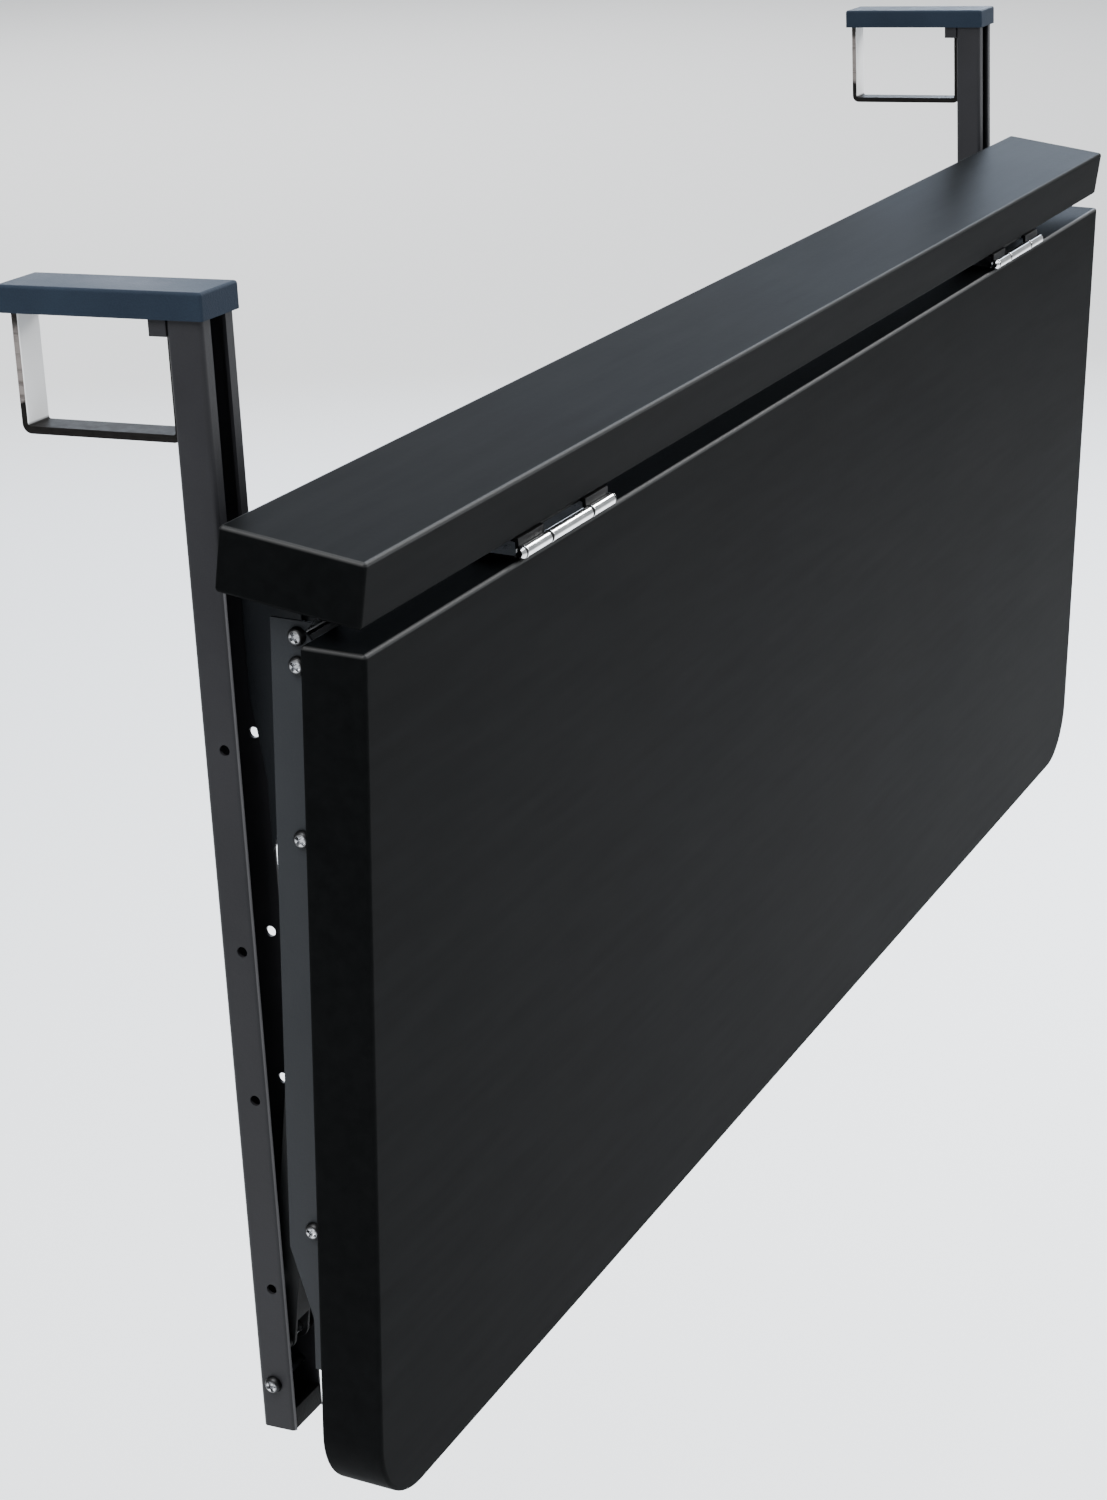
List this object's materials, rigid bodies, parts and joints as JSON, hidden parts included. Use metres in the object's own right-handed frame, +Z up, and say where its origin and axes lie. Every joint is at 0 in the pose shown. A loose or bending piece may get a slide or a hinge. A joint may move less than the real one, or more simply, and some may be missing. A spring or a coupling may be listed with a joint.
{
  "type": "balcony railing bar table",
  "caption": "Fold-up bar table that hooks over a balcony handrail: narrow sloping shelf with a large hinged leaf that swings up to level on propping stays.",
  "frame": {"origin": "midway between the two hooks, on the rear faces of the uprights, at the height of the handrail's top", "axes": "+X along the railing to the right of a person at the table, -Y towards that person, +Z up"},
  "size_m": [1, 0.1586, 0.5019],
  "materials": {
    "board_black": "satin black lacquer",
    "frame_steel": "dark grey powder coat",
    "arm_steel": "blue-grey powder coat",
    "stay_steel": "black powder coat",
    "cap_plastic": "fine grained",
    "strap_steel": "brushed",
    "zinc": "bright zinc plate",
    "dark_zinc": "black zinc plate",
    "hinge_plate": "dark nickel plate",
    "hinge_chrome": "polished",
    "glide_plastic": "smooth nylon"
  },
  "bodies": {
    "frame": {"shelf_board": "board_black", "left_upright": "frame_steel", "left_strap_lug": "frame_steel", "left_hook_bar": "frame_steel", "left_hook_cap": "cap_plastic", "left_rail_strap": "strap_steel", "left_strap_screws": "zinc", "left_shelf_bracket": "arm_steel", "left_shelf_screws": "dark_zinc", "left_stop_bolt": "zinc", "left_stop_nut": "zinc", "left_fixed_hinge_plate": "hinge_plate", "left_hinge_pin": "hinge_chrome", "left_fixed_hinge_screws": "hinge_plate", "right_upright": "frame_steel", "right_strap_lug": "frame_steel", "right_hook_bar": "frame_steel", "right_hook_cap": "cap_plastic", "right_rail_strap": "strap_steel", "right_strap_screws": "zinc", "right_shelf_bracket": "arm_steel", "right_shelf_screws": "dark_zinc", "right_stop_bolt": "zinc", "right_stop_nut": "zinc", "right_fixed_hinge_plate": "hinge_plate", "right_hinge_pin": "hinge_chrome", "right_fixed_hinge_screws": "hinge_plate"},
    "leaf": {"leaf_board": "board_black", "left_arm": "arm_steel", "left_arm_screws": "dark_zinc", "left_arm_bolts": "zinc", "left_arm_nuts": "zinc", "left_pivot_bolt": "zinc", "left_pivot_nut": "zinc", "left_pivot_bushes": "zinc", "left_moving_hinge_plate": "hinge_plate", "left_moving_hinge_screws": "hinge_plate", "right_arm": "arm_steel", "right_arm_screws": "dark_zinc", "right_arm_bolts": "zinc", "right_arm_nuts": "zinc", "right_pivot_bolt": "zinc", "right_pivot_nut": "zinc", "right_pivot_bushes": "zinc", "right_moving_hinge_plate": "hinge_plate", "right_moving_hinge_screws": "hinge_plate"},
    "left_stay": {"left_stay": "stay_steel", "left_foot_bush": "zinc", "left_foot_glides": "glide_plastic"},
    "right_stay": {"right_stay": "stay_steel", "right_foot_bush": "zinc", "right_foot_glides": "glide_plastic"}
  },
  "joints": [
    {"name": "leaf_hinge", "type": "hinge", "parent": "frame", "child": "leaf", "pos_m": [0, -0.08241, -0.11507], "axis": [-1, 0, 0], "range_deg": [0, 93.1]},
    {"name": "left_stay_pivot", "type": "hinge", "parent": "leaf", "child": "left_stay", "pos_m": [-0.474, -0.0418, -0.19934], "axis": [1, 0, 0], "range_deg": [0, 129.1]},
    {"name": "right_stay_pivot", "type": "hinge", "parent": "leaf", "child": "right_stay", "pos_m": [0.474, -0.0418, -0.19934], "axis": [1, 0, 0], "range_deg": [0, 129.1]}
  ],
  "couplings": [
    {"joint": "left_stay_pivot", "follows": "leaf_hinge", "ratio": 1.3865},
    {"joint": "right_stay_pivot", "follows": "leaf_hinge", "ratio": 1.3865}
  ]
}
